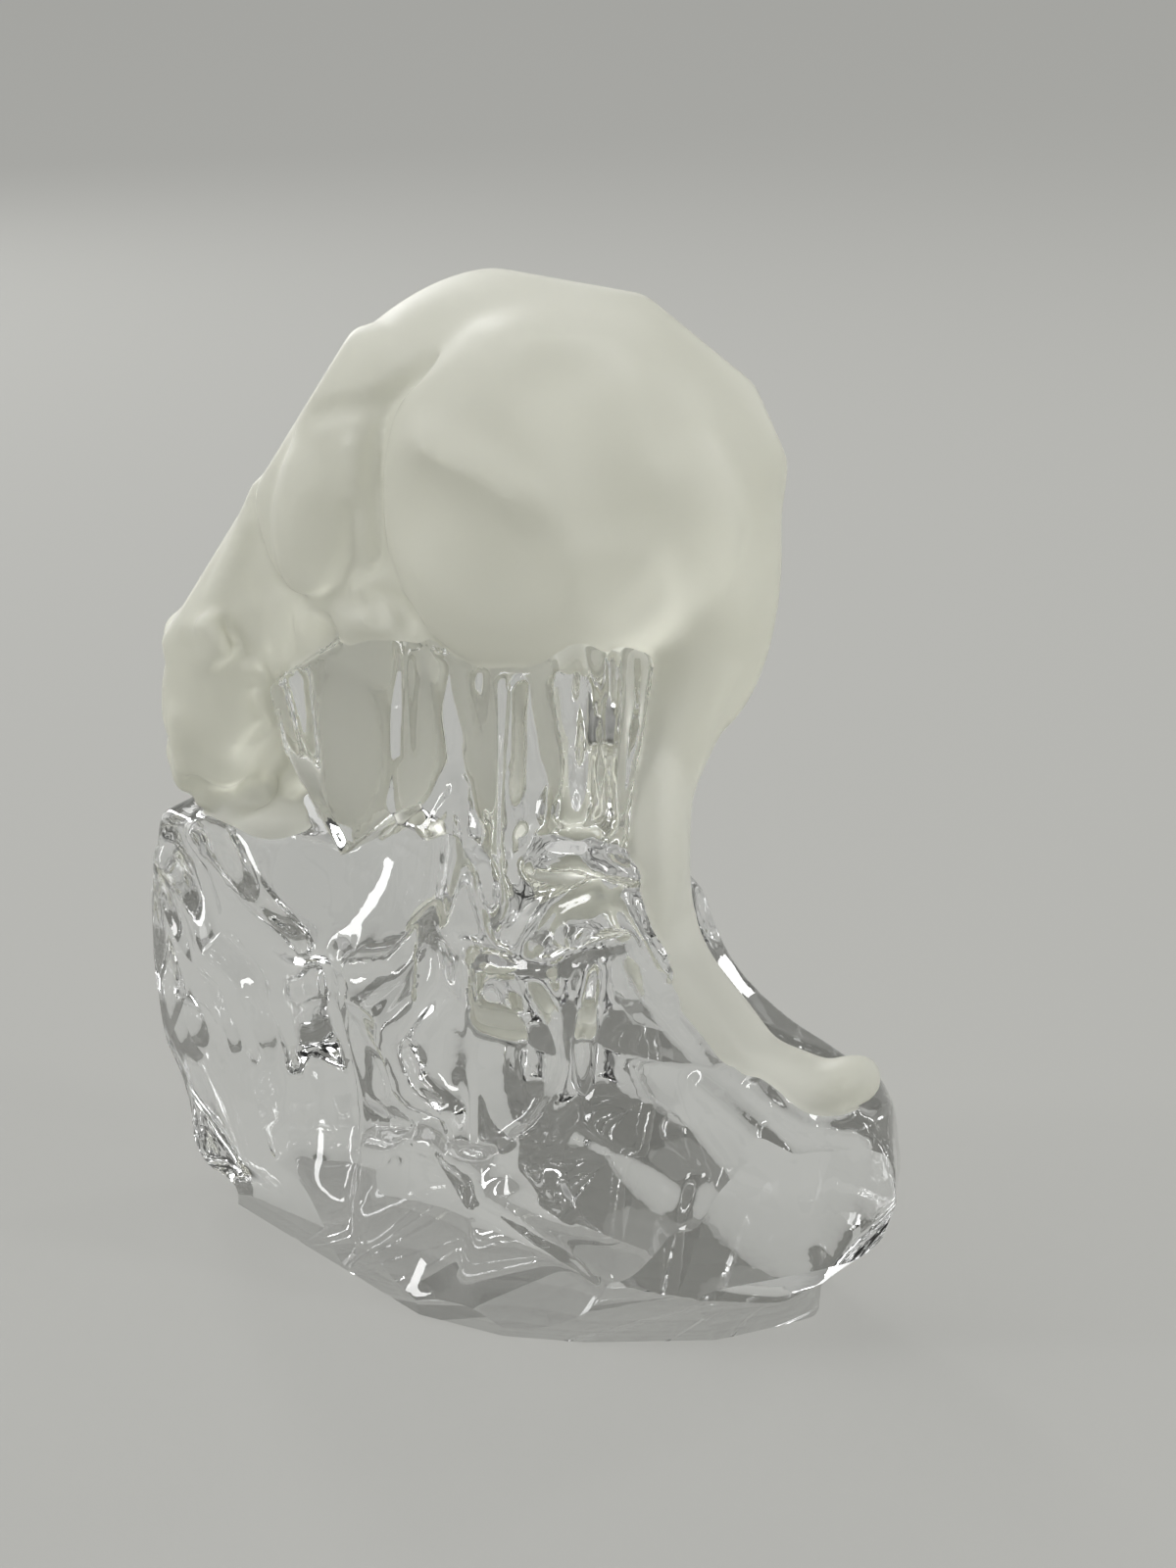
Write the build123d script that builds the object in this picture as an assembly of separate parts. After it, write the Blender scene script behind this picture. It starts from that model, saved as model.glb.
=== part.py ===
"""Crystal cat on a rock: a satin-frosted cat prowling down from a tall clear crag, cast as one piece.

The casting is divided where its forms meet: the clear rock into its blocks, and the frosted cat into
trunk, neck, head, ears, limbs, paws and tail. Every form is a closed solid, cut to the larger forms
that it grows out of, so that neighbours meet face to face.

Frame: the origin lies on the polished underside, below the middle of the rock. +Z is up, the cat
heads towards -X and its left side faces -Y. All sizes are in millimetres.
"""

import os
from copy import deepcopy
from math import cos, radians, sin

from build123d import *

# Rock: the corner that each block starts from, and its sizes
column_start = (-52.0, -30.0, 30.0)
column_length = 104.0
column_depth = 64.0
column_height = 136.0
crag_start = (-99.0, -26.0, 6.0)
crag_length = 70.0
crag_depth = 60.0
crag_height = 94.0
foot_start = (-86.0, -39.0, 0.0)
foot_length = 158.0
foot_depth = 83.0
foot_height = 40.0
boulder_start = (-38.0, -38.0, 30.0)
boulder_length = 38.0
boulder_depth = 34.0
boulder_height = 62.0
flank_start = (-4.0, -31.0, 8.0)
flank_length = 62.0
flank_depth = 40.0
flank_height = 86.0
ledge_start = (10.0, -29.0, 8.0)
ledge_length = 86.0
ledge_depth = 60.0
ledge_height = 112.0
step_start = (-46.0, 22.0, 0.0)
step_length = 62.0
step_depth = 26.0
step_height = 52.0

# The hollow between the column and the ledge, which the tail follows
hollow_inset = 8.0  # from the ledge's end to the hollow's middle
hollow_sink = 10.0  # from the ledge's top down to the hollow's middle
hollow_tilt = 9.0  # degrees, down towards the far side
hollow_radius = 51.0
hollow_width = 140.0

# Levels and ends of the rock that the cat keeps to
column_top = column_start[2] + column_height
crag_top = crag_start[2] + crag_height
step_top = step_start[2] + step_height
ledge_end = ledge_start[0] + ledge_length
hollow_middle = ledge_start[2] + ledge_height - hollow_sink
hollow_floor = hollow_middle - hollow_radius

# Trunk, from the rump to the chest; heights are over the column's top wherever nothing else is said
trunk_start = (36.0, 0.0, 21.0)
trunk_length = 74.0
trunk_width = 58.0
trunk_depth = 78.0
trunk_arch = 8.0  # how far the back's middle rises over the rump's

# Haunches: the left one is folded, the right one stretches down the far side of the rock
left_haunch_centre = (8.0, -21.0, 23.0)
right_haunch_centre = (6.0, 21.0, 17.0)
haunch_length = 60.0
haunch_thickness = 36.0
haunch_height = 78.0
haunch_lean = 6.0  # degrees

# Shoulder blades
left_shoulder_centre = (-38.0, -18.0, 15.0)
right_shoulder_centre = (-40.0, 18.0, 14.0)
shoulder_length = 29.0
shoulder_thickness = 24.0
shoulder_height = 49.0
shoulder_lean = 15.0  # degrees

# Neck and head, which hang forward and down
neck_start = (-42.0, 0.0, 18.0)
neck_length = 31.0
neck_turn = 6.0  # how far the neck bears to the cat's left
neck_drop = 40.0
neck_width = 32.0
neck_depth = 35.0
head_start = (-77.0, -8.0, -16.0)
head_reach = 3.0
head_drop = 40.0
head_width = 28.5
head_depth = 28.0
ear_length = 8.0
ear_thickness = 5.0
ear_height = 14.0
ear_lean = 12.0  # degrees
left_ear_centre = (-70.0, -21.5, -19.0)
right_ear_centre = (-71.0, 6.5, -18.0)

# Fore legs, which reach down to the crag's top, and their paws, with heights over that top
left_foreleg_start = (-46.0, -11.0, -9.0)
left_foreleg_reach = 18.0
left_foreleg_splay = 9.0
left_wrist_rise = 8.0
left_foreleg_drop = column_top + left_foreleg_start[2] - crag_top - left_wrist_rise
right_foreleg_start = (-46.0, 17.0, -10.0)
right_foreleg_reach = 6.0
right_foreleg_splay = 3.0
right_wrist_rise = 6.0
right_foreleg_drop = column_top + right_foreleg_start[2] - crag_top - right_wrist_rise
foreleg_width = 17.0
foreleg_depth = 22.0
left_fore_paw_centre = (-70.0, -5.0, 1.0)
right_fore_paw_centre = (-57.0, 20.0, 3.0)
fore_paw_length = 27.0
fore_paw_width = 17.0
fore_paw_height = 12.0

# Hind legs: the left paw is tucked in on the column, the right one treads on the far step
left_hind_paw_centre = (-21.0, -23.0, -10.0)
left_hind_paw_length = 20.0
left_hind_paw_width = 16.0
left_hind_paw_height = 15.0
shank_start = (-12.0, 27.0, -8.0)
shank_reach = 16.0
shank_splay = 8.0
ankle_rise = 14.0
shank_drop = column_top + shank_start[2] - step_top - ankle_rise
shank_width = 18.0
shank_depth = 25.0
right_hind_paw_centre = (-16.0, 36.0, 6.0)  # its height is over the step's top
right_hind_paw_length = 30.0
right_hind_paw_width = 17.0
right_hind_paw_height = 14.0

# Tail, from its root on the rump to the tip that curls up in the hollow
tail_start = (44.0, -2.0, 6.0)
tail_inset = 12.0  # from the ledge's end to the tail's outermost bend
tail_run = ledge_end - tail_inset - tail_start[0]
tail_swing = 8.0  # how far it bears to the cat's left
tail_rise = 4.0  # how far its lowest point's middle lies over the hollow's floor
tail_drop = column_top + tail_start[2] - hollow_floor - tail_rise
tail_width = 15.0
tail_depth = 13.5

# How rounded ends are drawn
dome_angles = (24.0, 52.0)  # degrees
dome_share = 0.9


def over(level, offset):
    """The point with that offset, its height counted from the level."""
    return (offset[0], offset[1], level + offset[2])


def place(start, run, splay, drop):
    """The point reached from start by going forward (-X), to the right (+Y) and down."""
    return Vector(start[0] - run, start[1] + splay, start[2] - drop)


def limb(start, run, splay, drop, width, depth, row_share, end_share=(1, 1)):
    """A form that swells and tapers along a path and ends in a dome at either end.

    A row gives its place as shares of run, splay and drop, and its size as shares of width and depth.
    """
    centres = [place(start, u * run, v * splay, w * drop) for u, v, w, a, b in row_share]
    sizes = [(a * width / 2, b * depth / 2) for u, v, w, a, b in row_share]
    last = len(centres) - 1
    rows = []
    for i, (centre, (half_width, half_depth)) in enumerate(zip(centres, sizes)):
        along = (centres[min(i + 1, last)] - centres[max(i - 1, 0)]).normalized()
        rows.append((centre, along, half_width, half_depth))
    tips = []
    caps = []
    for (centre, along, half_width, half_depth), sign, share in zip(
        (rows[0], rows[-1]), (-1, 1), end_share
    ):
        reach = along * (sign * share * dome_share * min(half_width, half_depth))
        tips.append(Vertex(*(centre + reach)))
        cap = []
        for angle in dome_angles:
            inward = sin(radians(angle))
            cap.append((centre + reach * cos(radians(angle)), along, half_width * inward, half_depth * inward))
        caps.append(cap)
    faces = []
    for centre, along, half_width, half_depth in caps[0] + rows + caps[1][::-1]:
        across = Vector(0, 1, 0)
        plane = Plane(origin=centre, x_dir=across - along * across.dot(along), z_dir=along)
        faces.append((plane * Ellipse(half_width, half_depth)).face())
    return loft([tips[0], *faces, tips[1]])


def egg(centre, length, width, height, lean=0):
    """An ellipsoid that leans about its crosswise axis, its top towards +X."""
    ball = scale(Rotation(90, 0, 0) * Sphere(1), by=(length / 2, width / 2, height / 2))
    return Location(centre, (0, lean, 0)) * ball


def block(start, length, depth, height, corner_share):
    """A faceted block: the hull of corners given as shares of its length, depth and height."""
    return ConvexPolyhedron(
        [(start[0] + x * length, start[1] + y * depth, start[2] + z * height) for x, y, z in corner_share]
    )


def cut_to(shape, *larger):
    """The shape without the larger forms that it grows out of, as its one main solid.

    Each larger form is copied first, because a cut may alter the forms that it is given.
    """
    for other in larger:
        shape = shape - deepcopy(other)
    return max(shape.solids(), key=lambda piece: piece.volume)


# Cat: run, splay and drop of each row, then its width and depth
trunk_row_share = [
    (0.00, 0, 0.00, 0.81, 0.84),
    (0.15, 0, -0.75, 0.96, 0.99),
    (0.36, 0, -0.88, 1.00, 1.00),
    (0.58, 0, -1.00, 0.96, 0.98),
    (0.79, 0, -0.30, 0.86, 0.89),
    (1.00, 0, 0.38, 0.63, 0.72),
]
trunk = limb(
    over(column_top, trunk_start), trunk_length, 0, trunk_arch,
    trunk_width, trunk_depth, trunk_row_share,
)

neck_row_share = [
    (0.00, 0.0, 0.00, 0.94, 0.96),
    (0.38, 0.2, 0.32, 1.00, 1.00),
    (0.76, 0.6, 0.68, 0.94, 0.94),
    (1.00, 1.0, 1.00, 0.80, 0.80),
]
neck = limb(
    over(column_top, neck_start), neck_length, -neck_turn, neck_drop,
    neck_width, neck_depth, neck_row_share, (0.8, 0.6),
)

head_row_share = [
    (0.00, 0, 0.00, 0.90, 0.88),
    (0.00, 0, 0.26, 1.00, 0.98),
    (0.10, 0, 0.50, 1.00, 0.98),
    (0.50, 0, 0.78, 0.90, 0.89),
    (1.00, 0, 1.00, 0.74, 0.72),
]
head = limb(
    over(column_top, head_start), head_reach, 0, head_drop,
    head_width, head_depth, head_row_share, (0.8, 0.9),
)

left_haunch = egg(
    over(column_top, left_haunch_centre), haunch_length, haunch_thickness, haunch_height, haunch_lean
)
right_haunch = egg(
    over(column_top, right_haunch_centre), haunch_length, haunch_thickness, haunch_height, haunch_lean
)
left_shoulder = egg(
    over(column_top, left_shoulder_centre), shoulder_length, shoulder_thickness, shoulder_height, shoulder_lean
)
right_shoulder = egg(
    over(column_top, right_shoulder_centre), shoulder_length, shoulder_thickness, shoulder_height, shoulder_lean
)
left_ear = egg(over(column_top, left_ear_centre), ear_length, ear_thickness, ear_height, ear_lean)
right_ear = egg(over(column_top, right_ear_centre), ear_length, ear_thickness, ear_height, ear_lean)

foreleg_row_share = [
    (0.00, 0.0, 0.00, 1.00, 1.00),
    (0.40, 0.4, 0.33, 0.92, 0.90),
    (0.80, 0.8, 0.70, 0.78, 0.72),
    (1.00, 1.0, 0.98, 0.74, 0.64),
]
left_foreleg = limb(
    over(column_top, left_foreleg_start), left_foreleg_reach, left_foreleg_splay, left_foreleg_drop,
    foreleg_width, foreleg_depth, foreleg_row_share, (0.8, 0.4),
)
right_foreleg = limb(
    over(column_top, right_foreleg_start), right_foreleg_reach, right_foreleg_splay, right_foreleg_drop,
    foreleg_width, foreleg_depth, foreleg_row_share, (0.8, 0.4),
)
left_fore_paw = egg(over(crag_top, left_fore_paw_centre), fore_paw_length, fore_paw_width, fore_paw_height)
right_fore_paw = egg(over(crag_top, right_fore_paw_centre), fore_paw_length, fore_paw_width, fore_paw_height)

left_hind_paw = egg(
    over(column_top, left_hind_paw_centre), left_hind_paw_length, left_hind_paw_width, left_hind_paw_height
)
shank_row_share = [
    (0.00, 0.0, 0.00, 1.00, 1.00),
    (0.10, 0.3, 0.24, 0.90, 0.82),
    (-0.60, 0.7, 0.50, 0.72, 0.60),
    (-0.90, 0.9, 0.74, 0.66, 0.56),
    (-0.50, 1.0, 1.00, 0.74, 0.62),
]
right_shank = limb(
    over(column_top, shank_start), shank_reach, shank_splay, shank_drop,
    shank_width, shank_depth, shank_row_share, (0.8, 0.5),
)
right_hind_paw = egg(
    over(step_top, right_hind_paw_centre), right_hind_paw_length, right_hind_paw_width, right_hind_paw_height
)

tail_row_share = [
    (0.00, 0.00, 0.00, 2.06, 2.10),
    (-0.05, 0.14, 0.11, 1.80, 1.84),
    (0.03, 0.50, 0.24, 1.48, 1.50),
    (0.12, 0.86, 0.37, 1.20, 1.22),
    (0.16, 1.00, 0.48, 1.06, 1.08),
    (0.14, 1.00, 0.62, 1.00, 1.00),
    (0.05, 1.00, 0.75, 1.00, 0.96),
    (-0.10, 0.98, 0.83, 1.00, 0.94),
    (-0.37, 0.92, 0.935, 1.00, 0.94),
    (-0.64, 0.86, 0.985, 1.02, 0.92),
    (-0.88, 0.80, 0.995, 1.00, 0.90),
    (-1.06, 0.70, 0.965, 0.88, 0.80),
]
tail = limb(
    over(column_top, tail_start), tail_run, -tail_swing, tail_drop,
    tail_width, tail_depth, tail_row_share, (0.8, 0.9),
)

# Rock: corners of each block
column_corner_share = [
    (0.02, 0.26, 0.90), (0.36, 0.05, 0.94), (0.60, 0.02, 0.96), (0.86, 0.04, 1.00), (0.90, 0.50, 0.96),
    (0.68, 0.84, 0.94), (0.40, 0.98, 0.94), (0.10, 0.90, 0.92), (0.00, 0.56, 0.92),
    (0.20, 0.16, 0.48), (0.38, 0.02, 0.62), (0.62, 0.00, 0.62), (0.84, 0.04, 0.62), (0.86, 0.40, 0.56),
    (0.67, 0.84, 0.50), (0.44, 1.00, 0.50), (0.10, 0.94, 0.48),
    (0.20, 0.34, 0.00), (0.84, 0.34, 0.00), (0.70, 0.80, 0.00), (0.50, 1.00, 0.00), (0.10, 0.96, 0.00),
]
crag_corner_share = [
    (0.06, 0.24, 1.00), (0.36, 0.10, 0.99), (0.86, 0.16, 0.90), (1.00, 0.50, 0.96), (0.94, 0.96, 0.98),
    (0.30, 0.94, 1.00), (0.06, 0.66, 1.00),
    (0.03, 0.20, 0.80), (0.00, 0.24, 0.58), (0.30, 0.02, 0.60), (0.90, 0.06, 0.50),
    (0.04, 0.24, 0.28), (0.10, 0.24, 0.00), (0.60, 0.12, 0.00), (1.00, 0.10, 0.00),
    (1.00, 1.00, 0.00), (0.30, 0.96, 0.00), (0.06, 0.70, 0.20), (0.02, 0.74, 0.60),
]
foot_corner_share = [
    (1.00, 0.59, 0.00), (0.975, 0.52, 0.00), (0.87, 0.24, 0.00), (0.78, 0.10, 0.00), (0.63, 0.00, 0.00),
    (0.49, 0.00, 0.00), (0.32, 0.14, 0.00), (0.04, 0.29, 0.00), (0.00, 0.57, 0.00), (0.04, 0.81, 0.00),
    (0.20, 0.90, 0.00), (0.36, 0.95, 0.00), (0.61, 1.00, 0.00), (0.80, 0.93, 0.00), (0.94, 0.86, 0.00),
    (0.31, 0.12, 0.96), (0.42, 0.08, 0.96), (0.57, 0.06, 1.00), (0.69, 0.08, 0.55), (0.78, 0.08, 0.45),
    (0.88, 0.22, 0.30), (0.99, 0.54, 0.10), (0.10, 0.30, 0.60), (0.10, 0.80, 0.60), (0.50, 0.94, 0.80),
    (0.90, 0.84, 0.40),
]
boulder_corner_share = [
    (0.10, 0.30, 0.92), (0.50, 0.18, 1.00), (0.86, 0.26, 0.84), (0.94, 0.16, 0.50), (0.70, 0.02, 0.60),
    (0.40, 0.00, 0.66), (0.12, 0.10, 0.70), (0.04, 0.20, 0.30), (0.30, 0.02, 0.10), (0.70, 0.04, 0.10),
    (0.98, 0.20, 0.20), (0.10, 0.20, 0.00), (0.90, 0.16, 0.00), (0.10, 1.00, 0.00), (0.90, 1.00, 0.00),
    (0.10, 1.00, 0.84), (0.90, 1.00, 0.84),
]
flank_corner_share = [
    (0.06, 0.18, 1.00), (0.40, 0.10, 0.98), (0.72, 0.10, 0.96), (0.96, 0.40, 0.62), (0.66, 0.00, 0.60),
    (0.30, 0.06, 0.60), (0.14, 0.04, 0.34), (0.40, 0.00, 0.12), (0.70, 0.00, 0.10), (1.00, 0.40, 0.10),
    (0.40, 0.04, 0.00), (0.70, 0.03, 0.00), (1.00, 0.42, 0.00), (0.00, 0.20, 0.30), (0.06, 1.00, 0.00),
    (1.00, 1.00, 0.00), (0.06, 1.00, 1.00), (0.70, 1.00, 0.96),
]
ledge_corner_share = [
    (0.30, 0.06, 0.98), (0.20, 0.84, 0.82), (0.66, 0.86, 0.48), (0.82, 0.40, 0.48), (0.92, 0.34, 0.46),
    (0.90, 0.62, 0.46), (0.77, 0.88, 0.44), (1.00, 0.36, 0.35), (0.985, 0.36, 0.20), (0.86, 0.86, 0.22),
    (0.73, 0.58, 0.00), (0.65, 0.44, 0.00), (0.48, 0.24, 0.00), (0.31, 0.02, 0.10), (0.31, 0.00, 0.00),
    (0.30, 0.96, 0.00), (0.60, 0.94, 0.00), (0.64, 0.06, 0.20), (0.58, 0.06, 0.46), (0.00, 0.10, 0.60),
    (0.00, 0.90, 0.60), (0.00, 0.90, 0.00), (0.00, 0.10, 0.00),
]
step_corner_share = [
    (0.06, 0.10, 1.00), (0.90, 0.10, 0.96), (0.80, 0.82, 0.92), (0.20, 0.80, 0.94), (0.10, 0.70, 0.40),
    (0.10, 0.60, 0.00), (0.90, 0.80, 0.00), (0.50, 0.92, 0.20), (0.00, 0.00, 0.00), (1.00, 0.00, 0.00),
]
column = block(column_start, column_length, column_depth, column_height, column_corner_share)
crag = block(crag_start, crag_length, crag_depth, crag_height, crag_corner_share)
foot = block(foot_start, foot_length, foot_depth, foot_height, foot_corner_share)
boulder = block(boulder_start, boulder_length, boulder_depth, boulder_height, boulder_corner_share)
flank = block(flank_start, flank_length, flank_depth, flank_height, flank_corner_share)
ledge = block(ledge_start, ledge_length, ledge_depth, ledge_height, ledge_corner_share)
far_step = block(step_start, step_length, step_depth, step_height, step_corner_share)
hollow_centre = (ledge_end - hollow_inset, 0, hollow_middle)
hollow = Location(hollow_centre, (90 - hollow_tilt, 0, 0)) * Cylinder(hollow_radius, hollow_width)

parts = {
    "trunk": trunk,
    "left_haunch": cut_to(left_haunch, trunk),
    "right_haunch": cut_to(right_haunch, trunk),
    "left_shoulder": cut_to(left_shoulder, trunk, left_haunch),
    "right_shoulder": cut_to(right_shoulder, trunk, right_haunch),
    "neck": cut_to(neck, trunk, left_shoulder, right_shoulder),
    "head": cut_to(head, neck),
    "left_ear": cut_to(left_ear, head, neck),
    "right_ear": cut_to(right_ear, head, neck),
    "left_foreleg": cut_to(left_foreleg, trunk, left_shoulder, neck, head),
    "right_foreleg": cut_to(right_foreleg, trunk, right_shoulder, neck),
    "left_fore_paw": cut_to(left_fore_paw, head, left_foreleg),
    "right_fore_paw": cut_to(right_fore_paw, right_foreleg),
    "left_hind_paw": cut_to(left_hind_paw, trunk, left_haunch, left_shoulder),
    "right_shank": cut_to(right_shank, trunk, right_haunch),
    "right_hind_paw": cut_to(right_hind_paw, right_shank),
    "tail": cut_to(tail, trunk, left_haunch, right_haunch),
}
cat = [
    trunk, left_haunch, right_haunch, left_shoulder, right_shoulder, neck, head, left_foreleg, right_foreleg,
    left_fore_paw, right_fore_paw, left_hind_paw, right_shank, right_hind_paw, tail,
]
parts["rock_column"] = cut_to(column, *cat)
parts["rock_foot"] = cut_to(foot, column)
parts["rock_crag"] = cut_to(crag, column, foot, *cat)
parts["rock_ledge"] = cut_to(ledge, column, foot, hollow, *cat)
parts["rock_flank"] = cut_to(flank, column, foot, ledge, *cat)
parts["rock_boulder"] = cut_to(boulder, column, foot, crag, flank)
parts["rock_step"] = cut_to(far_step, column, foot, crag, ledge, *cat)

os.makedirs("parts", exist_ok=True)
for name, solid in parts.items():
    export_step(solid, f"parts/{name}.step")
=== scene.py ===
"""Crystal cat on a rock: the looks of the casting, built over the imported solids.

The solids' forms are melted into one skin, sculpted, cut flat where the crystal was ground, and
parted along the line where the satin frosting ends, so that both pieces together close one body.
"""

import bmesh
import bpy
import numpy as np
from bpy.props import FloatProperty, FloatVectorProperty, IntProperty, PointerProperty
from mathutils import Matrix, Vector, noise
from mathutils.bvhtree import BVHTree


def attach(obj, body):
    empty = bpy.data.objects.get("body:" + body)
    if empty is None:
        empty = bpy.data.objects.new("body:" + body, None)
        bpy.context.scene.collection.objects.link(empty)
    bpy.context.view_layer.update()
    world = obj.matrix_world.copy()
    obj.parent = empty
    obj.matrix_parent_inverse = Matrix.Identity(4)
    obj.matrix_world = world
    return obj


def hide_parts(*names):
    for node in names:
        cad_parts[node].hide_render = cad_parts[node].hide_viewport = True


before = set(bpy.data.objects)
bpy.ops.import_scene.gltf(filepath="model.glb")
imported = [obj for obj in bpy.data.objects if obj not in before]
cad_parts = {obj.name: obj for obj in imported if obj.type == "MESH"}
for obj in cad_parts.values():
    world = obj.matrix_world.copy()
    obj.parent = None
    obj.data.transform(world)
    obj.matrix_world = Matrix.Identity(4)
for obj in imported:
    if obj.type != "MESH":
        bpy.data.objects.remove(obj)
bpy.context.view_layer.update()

bl_info = {
    "name": "Crystal Cat",
    "version": (1, 0, 0),
    "blender": (4, 5, 0),
    "location": "View3D > Sidebar > Crystal Cat",
    "description": "Builds a satin-frosted crystal cat on a clear crystal rock",
    "category": "Object",
}

MM = 0.001  # one millimetre in metres

# Shell-shaped scoops of the rock: a place, which way its surface faces there, the scoop's radius and depth
ROCK_SCOOPS = (
    # the crag's left side and front
    ((-78, -21, 82), (-0.4, -0.9, 0.2), 36, 5),
    ((-78, -22, 46), (-0.4, -0.9, -0.1), 34, 5),
    ((-80, -17, 16), (-0.3, -0.9, -0.3), 24, 4),
    ((-51, -19, 90), (0.2, -0.8, 0.5), 50, 7),
    ((-53, -25, 45), (0.1, -1.0, 0.0), 50, 4),
    # the boulder and the skirt below it
    ((-20, -34, 78), (0.1, -0.9, 0.4), 24, 6),
    ((-21, -38, 54), (-0.1, -1.0, -0.1), 24, 4),
    ((-15, -34, 22), (-0.1, -1.0, 0.2), 45, 5),
    ((20, -37, 14), (0.2, -1.0, 0.3), 40, 5),
    # the column, and the wide hollow below it
    ((-2, -27, 104), (0.1, -0.9, -0.4), 18, 5),
    ((42, -27, 72), (0.3, -1.0, 0.1), 60, 10),
    ((18, -30, 62), (-0.2, -1.0, 0.1), 40, 5),
    ((36, -31, 32), (0.1, -1.0, 0.1), 60, 5),
    # the left end
    ((-95, 8, 70), (-1.0, 0.2, 0.1), 30, 6),
    ((-95, 2, 30), (-1.0, -0.1, -0.2), 26, 5),
    ((-90, 24, 50), (-0.8, 0.6, 0.0), 28, 5),
    # the far side
    ((-68, 34, 60), (-0.2, 1.0, 0.1), 90, 8),
    ((22, 36, 80), (0.2, 1.0, 0.1), 90, 8),
    ((30, 38, 30), (0.1, 1.0, 0.2), 80, 5),
)
# Flat slabs laid on the column's front: how deep each one goes, and the corners of its face
ROCK_SLABS = (
    # before the fore legs, with the wavy border of the frosting above it
    (24, (
        (-58, -18, 137), (-38, -23, 150), (-27, -25, 154), (-15, -28, 155), (-14, -28, 131), (-21, -27, 114),
        (-36, -23, 101), (-54, -19, 123),
    )),
    (20, (
        (-15, -28, 155), (-2, -27, 155), (14, -27, 151), (11, -27, 113), (-3, -28, 112), (-19, -28, 113),
        (-14, -28, 131),
    )),
    # the ledge's ground side
    (6, (
        (70, -20, 50), (79, -16, 51), (93, -9, 48), (95, -9, 31), (85, -16, 17), (57, -29, 20), (64, -25, 40),
    )),
    # beside the tail's root, rising to a peak
    (20, (
        (12, -30, 151), (21, -29, 158), (31, -28, 168), (36, -28, 172), (36, -26, 152), (33, -25, 122),
        (20, -29, 116), (12, -31, 114),
    )),
)
# Strokes of the modelling tool: its radius, how far it pushes the skin out (or, below zero, in), whether
# it leaves a crisp crest, and the points x, y, z that it passes, all in millimetres.
ROCK_STROKES = (
    # grooves between the crag, the boulder and the column
    (9, -8, True, ((-45, -21, 71), (-44, -22, 51), (-41, -26, 35), (-37, -30, 5))),
    # the crag's arrises
    (6, 4.2, True, ((-79, -18, 98), (-63, -22, 86), (-53, -21, 78), (-45, -21, 71))),
    (6, 3, True, (
        (-91, -15, 88), (-75, -23, 73), (-64, -23, 66), (-59, -24, 48), (-64, -21, 29), (-59, -22, 8),
    )),
    # the boulder's rim and break
    (6, 4.2, True, (
        (-42, -20, 72), (-26, -30, 86), (-17, -23, 90), (-9, -27, 84), (-9, -33, 74), (-12, -38, 65),
        (-10, -37, 56), (-5, -33, 49),
    )),
    (4, 1.8, True, ((-29, -36, 60), (-13, -38, 64))),
    # crease over the skirt, and the skirt's edge
    (7, -6, True, ((-38, -26, 37), (-20, -37, 42), (-7, -33, 44))),
    (5, 2.4, True, (
        (-35, -31, 35), (-7, -33, 39), (5, -32, 38), (7, -34, 32), (20, -34, 24), (36, -32, 18),
    )),
    # flutes and arrises of the column
    (5, 2.4, True, ((-14, -28, 153), (-14, -28, 131))),
    (5, 2.6, True, ((-10, -30, 111), (-4, -29, 124), (0, -26, 112), (1, -24, 98), (7, -24, 91))),
    (5, 2.8, True, ((14, -30, 150), (13, -31, 118), (8, -25, 92))),
    (14, -4, False, ((-6, -29, 150), (-4, -29, 122))),
    (12, -4, False, ((22, -28, 152), (22, -29, 128))),
    (6, -5, True, ((35, -27, 162), (34, -27, 123))),
    # waves and the arch under the column's panel
    (4, -2.4, False, ((18, -31, 117), (30, -27, 119), (36, -23, 115))),
    (4, 2.2, False, ((18, -29, 110), (30, -27, 113), (37, -22, 109))),
    (4, -2.4, False, ((12, -26, 90), (20, -27, 101), (30, -26, 107), (37, -24, 107))),
    (5, 3, False, ((26, -26, 94), (26, -26, 94))),
    (4.5, -4, True, ((-3, -22, 86), (21, -28, 87), (39, -26, 92))),
    # edge of the flute below the column
    (5, 2.6, True, ((30, -27, 89), (28, -29, 72), (17, -31, 50), (8, -30, 39))),
    # streaks beside the ledge
    (5, 2.8, False, ((54, -26, 64), (67, -22, 56), (72, -20, 50), (68, -24, 38), (63, -24, 24))),
    (6, -3, False, ((52, -27, 55), (60, -26, 47), (55, -27, 33))),
    # rim of the tail's trough
    (5, 2.2, True, (
        (37, -23, 107), (41, -22, 94), (50, -23, 79), (64, -22, 66), (77, -16, 57), (88, -10, 55),
    )),
)
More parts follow.
